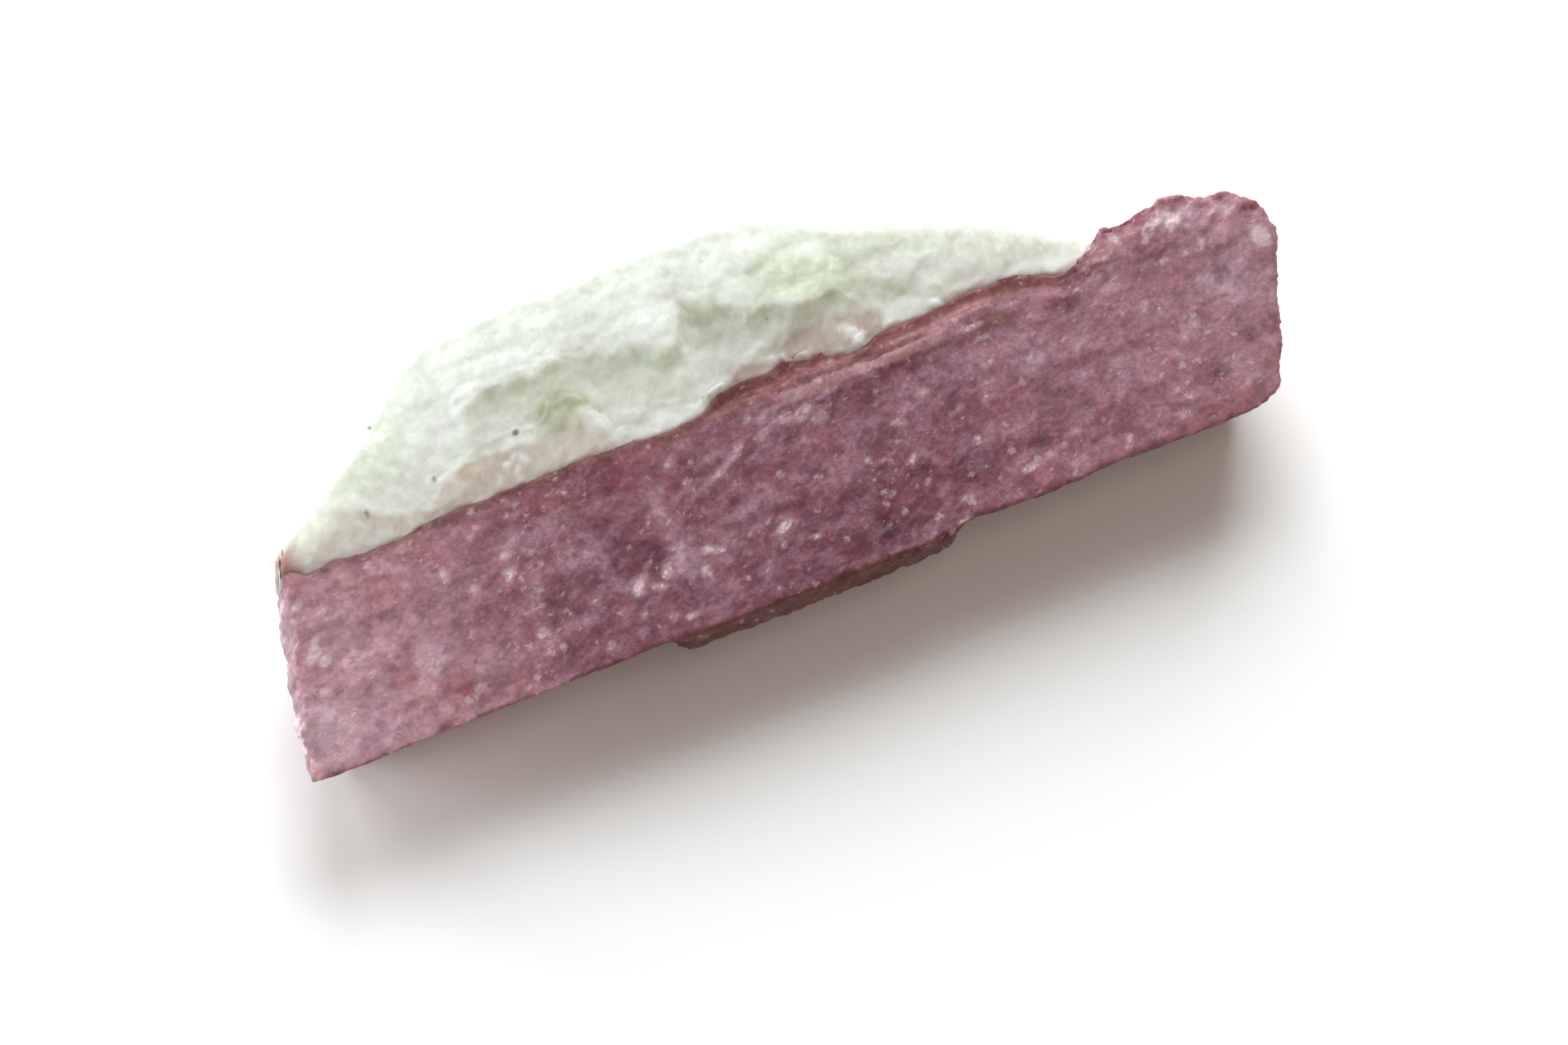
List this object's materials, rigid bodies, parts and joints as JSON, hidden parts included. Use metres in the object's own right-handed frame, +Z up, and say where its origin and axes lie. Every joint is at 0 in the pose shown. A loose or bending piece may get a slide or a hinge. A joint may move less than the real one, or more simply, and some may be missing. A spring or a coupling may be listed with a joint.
{
  "type": "tourmaline crystal",
  "caption": "Raw mauve-pink tourmaline prism with striated faces and broken ends, lying with a strip of pale green-white feldspar along its back.",
  "frame": {"origin": "middle of the underside of the whole specimen's box, on the surface that it lies on", "axes": "+X along the prism towards the end with the lump, +Y from the prism to the matrix, +Z up"},
  "size_m": [0.0386, 0.0138, 0.0088],
  "materials": {
    "tourmaline": "raw mauve-pink crystal, satin, with pale veils and bright specks",
    "feldspar": "pale green-white translucent stone, waxy"
  },
  "bodies": {
    "root": {"tourmaline_crystal": "tourmaline", "feldspar_matrix": "feldspar"}
  },
  "joints": []
}
